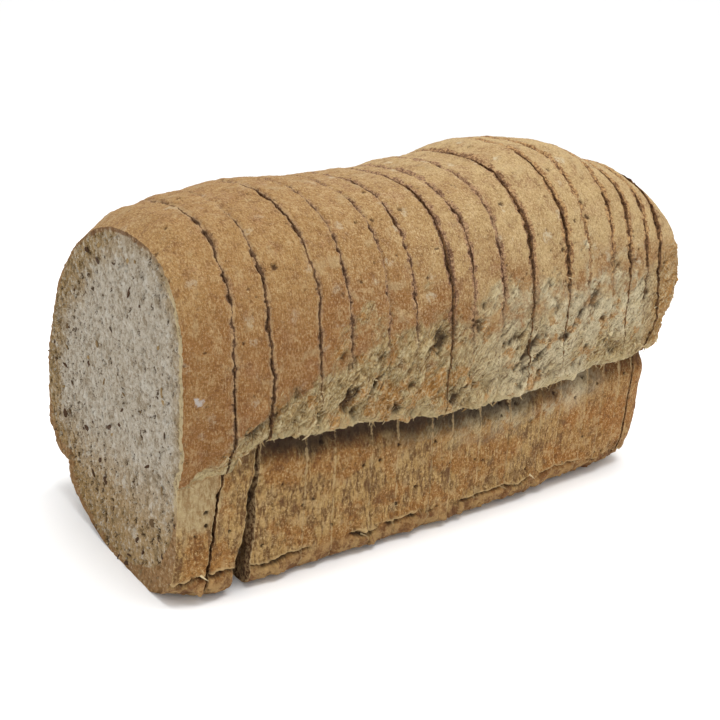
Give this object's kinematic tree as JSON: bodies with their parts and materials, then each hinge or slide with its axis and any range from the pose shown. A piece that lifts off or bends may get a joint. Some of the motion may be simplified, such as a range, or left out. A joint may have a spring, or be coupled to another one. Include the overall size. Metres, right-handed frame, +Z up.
{
  "type": "sliced loaf of bread",
  "caption": "Sliced tin loaf of seeded brown bread, standing whole, with a domed top that overhangs its sides, one cut end and one rounded heel.",
  "frame": {"origin": "under the middle of the loaf, on the plane it stands on", "axes": "+X along the loaf from the cut end to the heel, +Y across it towards the side whose overhang hangs low, +Z up"},
  "size_m": [0.2208, 0.1278, 0.133],
  "materials": {
    "crust": "dry baked crust, golden tan, with small pores and seeds",
    "crumb": "open soft crumb with dark seeds"
  },
  "bodies": {
    "root": {"slice_01": "crust", "slice_02": "crust", "slice_03": "crust", "slice_04": "crust", "slice_05": "crust", "slice_06": "crust", "slice_07": "crust", "slice_08": "crust", "slice_09": "crust", "slice_10": "crust", "slice_11": "crust", "slice_12": "crust", "slice_13": "crust", "slice_14": "crust", "slice_15": "crust", "slice_16": "crust", "slice_17": "crust"}
  },
  "joints": []
}
